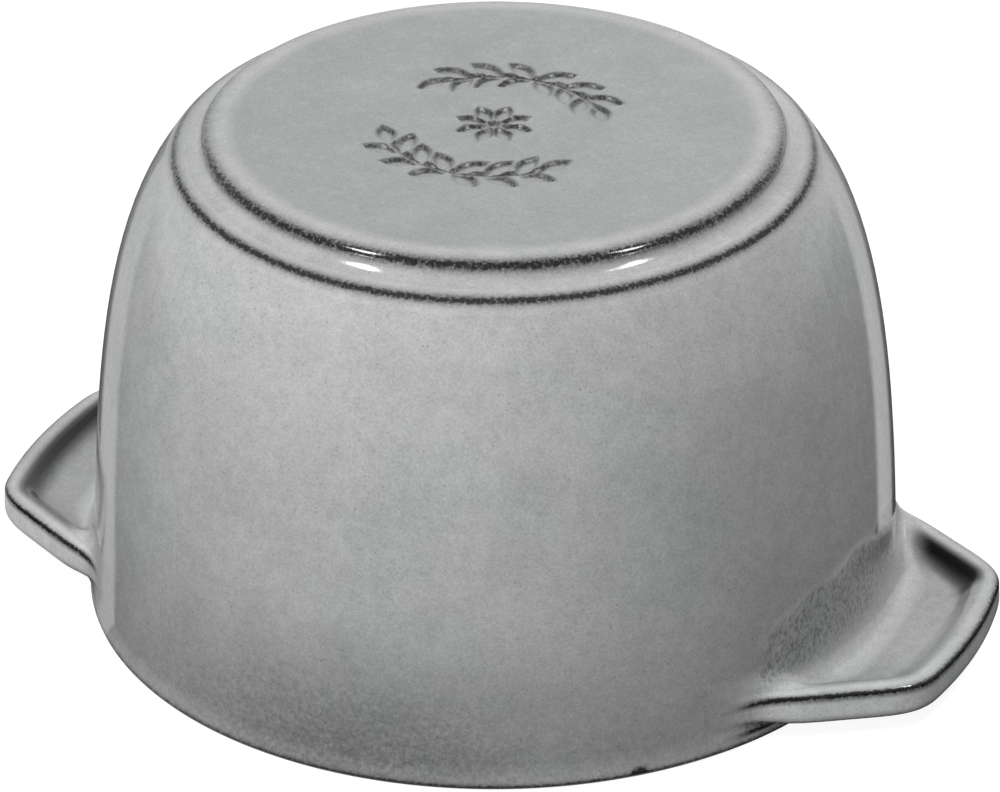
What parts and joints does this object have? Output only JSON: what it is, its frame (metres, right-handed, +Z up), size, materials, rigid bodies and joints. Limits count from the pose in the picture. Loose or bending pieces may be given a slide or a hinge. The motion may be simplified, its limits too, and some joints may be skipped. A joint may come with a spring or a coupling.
{
  "type": "round dutch oven",
  "caption": "Round enamelled cast-iron dutch oven, overturned on its rim for storage: raised foot, pocketed lug handles cast on the wall, and a knobbed lid nested inside the mouth.",
  "frame": {"origin": "middle of the rim, on the surface that the overturned pot stands on", "axes": "+X along the line through the two handles, +Z up from the rim to the base of the pot"},
  "size_m": [0.165, 0.132, 0.082],
  "materials": {
    "grey_enamel": "glossy grey enamel on cast iron, thin and dark along outer edges; matt black inside",
    "polished_steel": "polished stainless steel",
    "plain_steel": "plain stainless steel"
  },
  "bodies": {
    "lid_set": {"lid": "grey_enamel", "knob": "polished_steel", "knob_washer": "plain_steel", "knob_screw": "plain_steel", "spring_washer": "plain_steel"},
    "pot": {"pot": "grey_enamel"}
  },
  "joints": [
    {"name": "pot_lift", "type": "slide", "parent": "lid_set", "child": "pot", "axis": [0, 0, 1], "range_m": [0, 0.12]}
  ]
}
